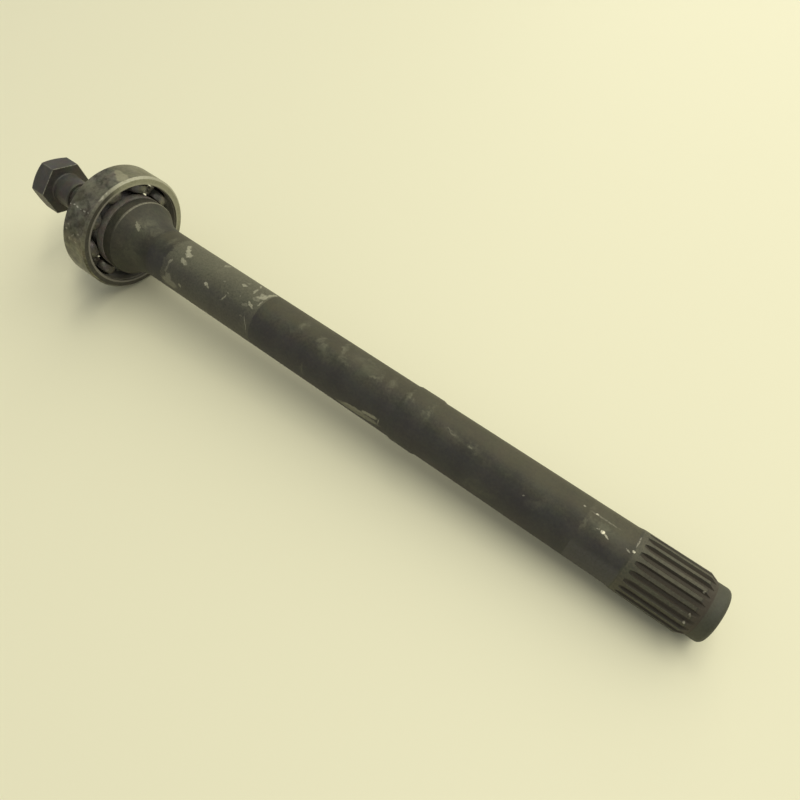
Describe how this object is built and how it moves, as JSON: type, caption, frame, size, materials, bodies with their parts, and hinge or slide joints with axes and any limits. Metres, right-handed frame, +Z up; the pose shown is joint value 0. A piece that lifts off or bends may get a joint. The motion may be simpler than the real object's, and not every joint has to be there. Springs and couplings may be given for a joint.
{
  "type": "drive shaft",
  "caption": "Drive shaft with a splined inner end, a flared shoulder that carries a caged ball bearing, and a hexagon bolt in its drilled outer end.",
  "frame": {"origin": "middle of the part's footprint, on the surface it lies on", "axes": "+X along the shaft towards its splined tip, +Z up, +Y across"},
  "size_m": [0.3898, 0.062, 0.0627],
  "materials": {
    "forged_steel": "dark dull steel with oil film and dry residue",
    "bolt_steel": "dark phosphated steel, worn at the edges",
    "spring_steel": "blackened spring steel",
    "bearing_steel": "ground bearing steel, dulled and stained",
    "ball_steel": "polished bearing balls",
    "cage_steel": "pressed sheet steel"
  },
  "bodies": {
    "shaft_body": {"shaft": "forged_steel", "hex_bolt": "bolt_steel", "retaining_ring": "spring_steel", "bearing_inner_ring": "bearing_steel"},
    "outer_ring_body": {"bearing_outer_ring": "bearing_steel"},
    "cage_body": {"cage_inner_half": "cage_steel", "cage_outer_half": "cage_steel", "cage_rivets": "cage_steel"},
    "ball_1_body": {"ball_1": "ball_steel"},
    "ball_2_body": {"ball_2": "ball_steel"},
    "ball_3_body": {"ball_3": "ball_steel"},
    "ball_4_body": {"ball_4": "ball_steel"},
    "ball_5_body": {"ball_5": "ball_steel"},
    "ball_6_body": {"ball_6": "ball_steel"},
    "ball_7_body": {"ball_7": "ball_steel"},
    "ball_8_body": {"ball_8": "ball_steel"},
    "ball_9_body": {"ball_9": "ball_steel"}
  },
  "joints": [
    {"name": "outer_ring_spin", "type": "hinge", "parent": "shaft_body", "child": "outer_ring_body", "pos_m": [-0.13679, 0, 0.03134], "axis": [0.9985, 0, -0.0554], "continuous": true},
    {"name": "cage_spin", "type": "hinge", "parent": "shaft_body", "child": "cage_body", "pos_m": [-0.13679, 0, 0.03134], "axis": [0.9985, 0, -0.0554], "continuous": true},
    {"name": "ball_1_roll", "type": "hinge", "parent": "cage_body", "child": "ball_1_body", "pos_m": [-0.13648, 0.02232, 0.0369], "axis": [0.9985, 0, -0.0554], "continuous": true},
    {"name": "ball_2_roll", "type": "hinge", "parent": "cage_body", "child": "ball_2_body", "pos_m": [-0.13576, 0.01352, 0.04992], "axis": [0.9985, 0, -0.0554], "continuous": true},
    {"name": "ball_3_roll", "type": "hinge", "parent": "cage_body", "child": "ball_3_body", "pos_m": [-0.13552, -0.0016, 0.05425], "axis": [0.9985, 0, -0.0554], "continuous": true},
    {"name": "ball_4_roll", "type": "hinge", "parent": "cage_body", "child": "ball_4_body", "pos_m": [-0.13587, -0.01598, 0.04786], "axis": [0.9985, 0, -0.0554], "continuous": true},
    {"name": "ball_5_roll", "type": "hinge", "parent": "cage_body", "child": "ball_5_body", "pos_m": [-0.13666, -0.02287, 0.03374], "axis": [0.9985, 0, -0.0554], "continuous": true},
    {"name": "ball_6_roll", "type": "hinge", "parent": "cage_body", "child": "ball_6_body", "pos_m": [-0.1375, -0.01907, 0.0185], "axis": [0.9985, 0, -0.0554], "continuous": true},
    {"name": "ball_7_roll", "type": "hinge", "parent": "cage_body", "child": "ball_7_body", "pos_m": [-0.13801, -0.00634, 0.00927], "axis": [0.9985, 0, -0.0554], "continuous": true},
    {"name": "ball_8_roll", "type": "hinge", "parent": "cage_body", "child": "ball_8_body", "pos_m": [-0.13795, 0.00935, 0.01036], "axis": [0.9985, 0, -0.0554], "continuous": true},
    {"name": "ball_9_roll", "type": "hinge", "parent": "cage_body", "child": "ball_9_body", "pos_m": [-0.13735, 0.02067, 0.02127], "axis": [0.9985, 0, -0.0554], "continuous": true}
  ],
  "couplings": [
    {"joint": "cage_spin", "follows": "outer_ring_spin", "ratio": 0.60353},
    {"joint": "ball_1_roll", "follows": "outer_ring_spin", "ratio": 2.3112},
    {"joint": "ball_2_roll", "follows": "outer_ring_spin", "ratio": 2.3112},
    {"joint": "ball_3_roll", "follows": "outer_ring_spin", "ratio": 2.3112},
    {"joint": "ball_4_roll", "follows": "outer_ring_spin", "ratio": 2.3112},
    {"joint": "ball_5_roll", "follows": "outer_ring_spin", "ratio": 2.3112},
    {"joint": "ball_6_roll", "follows": "outer_ring_spin", "ratio": 2.3112},
    {"joint": "ball_7_roll", "follows": "outer_ring_spin", "ratio": 2.3112},
    {"joint": "ball_8_roll", "follows": "outer_ring_spin", "ratio": 2.3112},
    {"joint": "ball_9_roll", "follows": "outer_ring_spin", "ratio": 2.3112}
  ]
}
